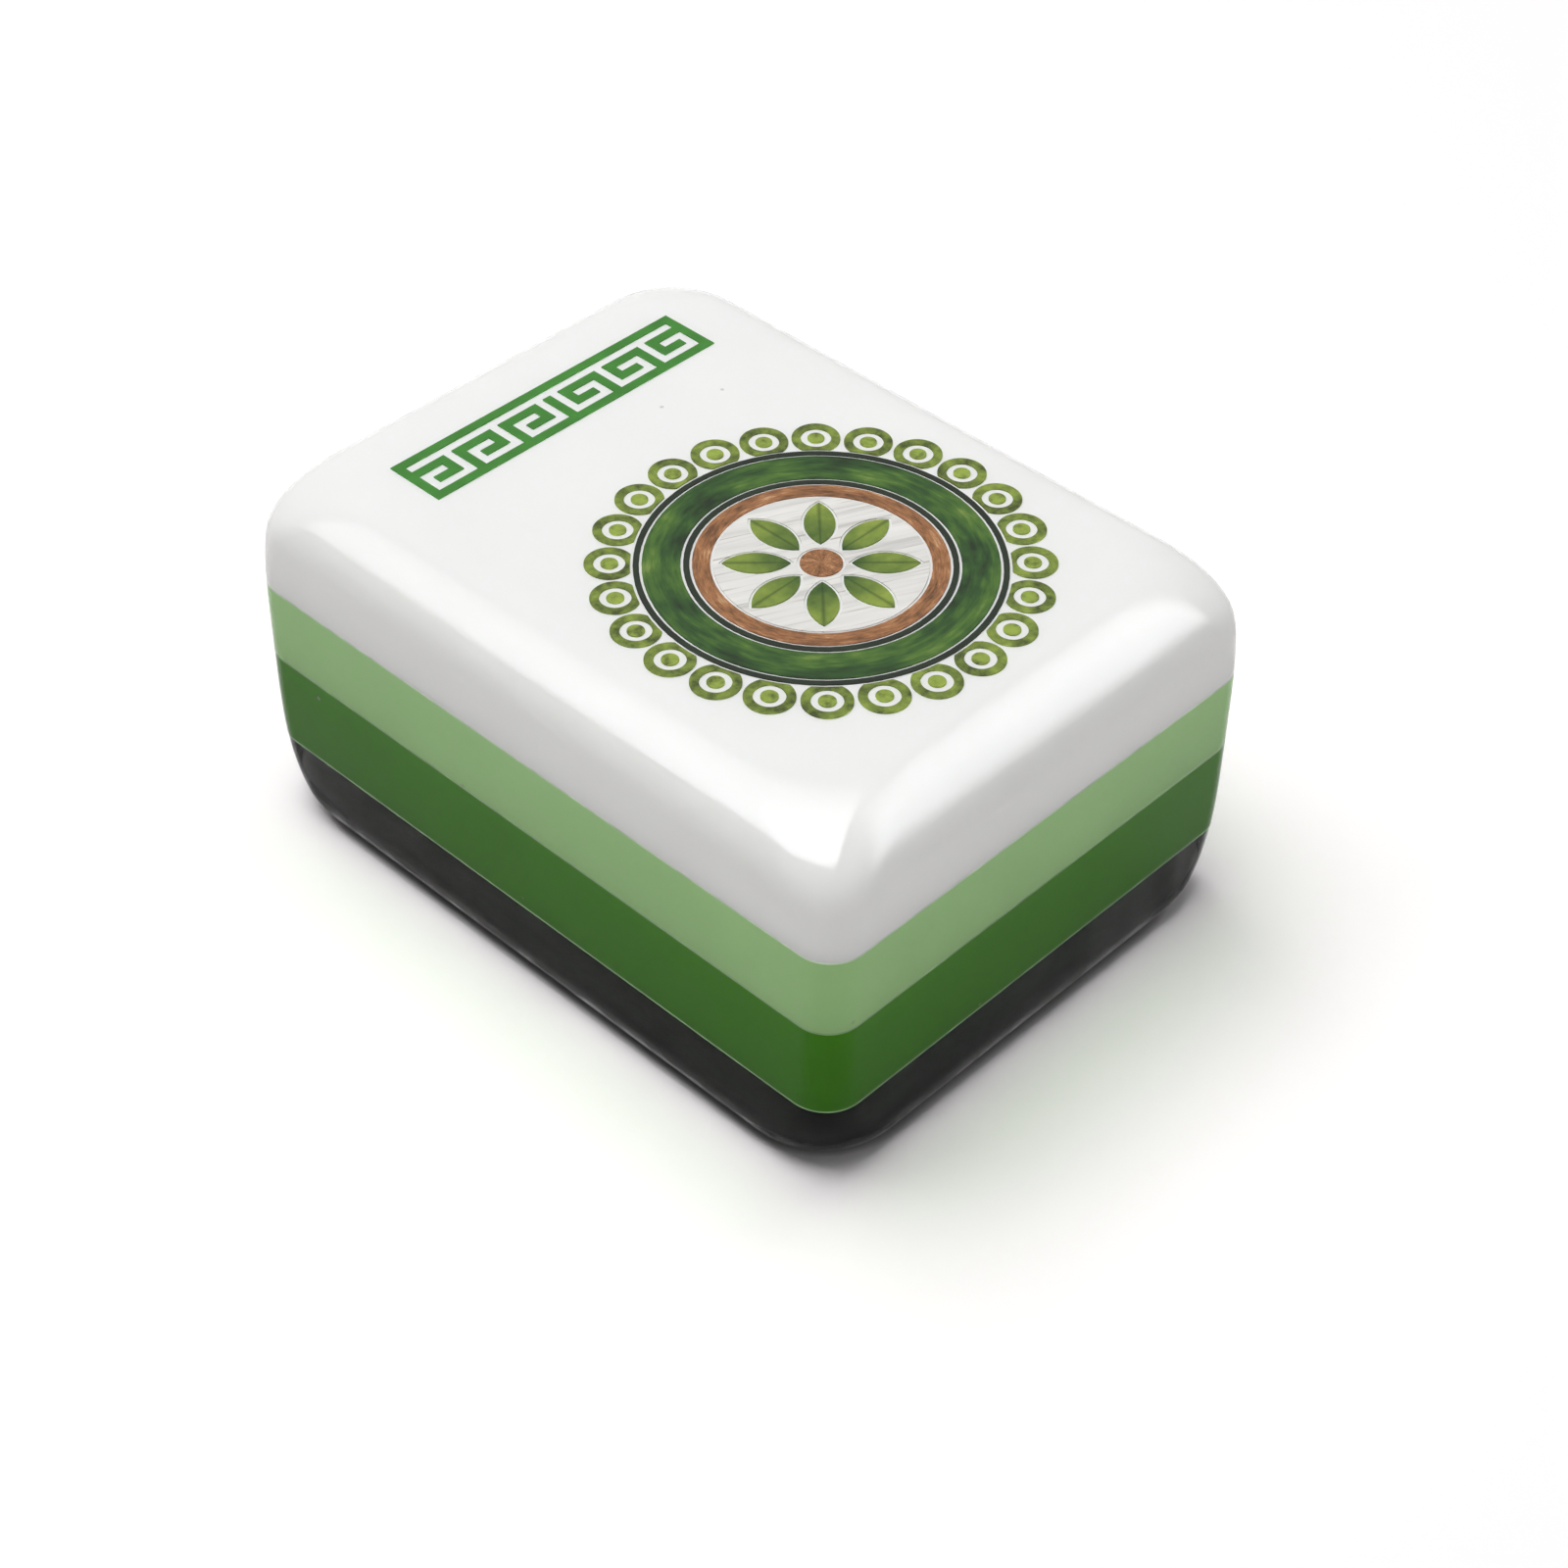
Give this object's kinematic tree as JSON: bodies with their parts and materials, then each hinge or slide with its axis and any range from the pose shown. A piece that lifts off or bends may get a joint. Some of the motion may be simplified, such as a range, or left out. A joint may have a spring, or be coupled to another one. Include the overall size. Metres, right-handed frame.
{
  "type": "mahjong tile",
  "caption": "Laminated mahjong tile: rounded block of white, pale green, dark green and smoke-clear acrylic, its white face printed with a fret band and a round rosette.",
  "frame": {"origin": "centre of the underside, on the surface that the tile lies on", "axes": "+X across the tile to the right of the face, +Y along the tile to the upper end of the face, +Z out of the face"},
  "size_m": [0.0222, 0.03, 0.0158],
  "materials": {
    "white_acrylic": "polished",
    "pale_acrylic": "polished",
    "dark_acrylic": "polished",
    "smoke_acrylic": "polished, smoke-tinted clear",
    "clear_bond": "clear",
    "leaf_ink": "printed",
    "olive_ink": "printed",
    "lime_ink": "printed",
    "night_ink": "printed",
    "deep_ink": "printed",
    "copper_ink": "printed",
    "ivory_ink": "printed",
    "petal_ink": "printed"
  },
  "bodies": {
    "root": {"face_layer": "white_acrylic", "face_bond": "clear_bond", "pale_layer": "pale_acrylic", "middle_bond": "clear_bond", "dark_layer": "dark_acrylic", "base_bond": "clear_bond", "base_layer": "smoke_acrylic", "fret_print": "leaf_ink", "scallop_print": "olive_ink", "bead_print": "lime_ink", "outline_print": "night_ink", "ring_print": "deep_ink", "copper_print": "copper_ink", "disc_print": "ivory_ink", "petal_print": "petal_ink"}
  },
  "joints": []
}
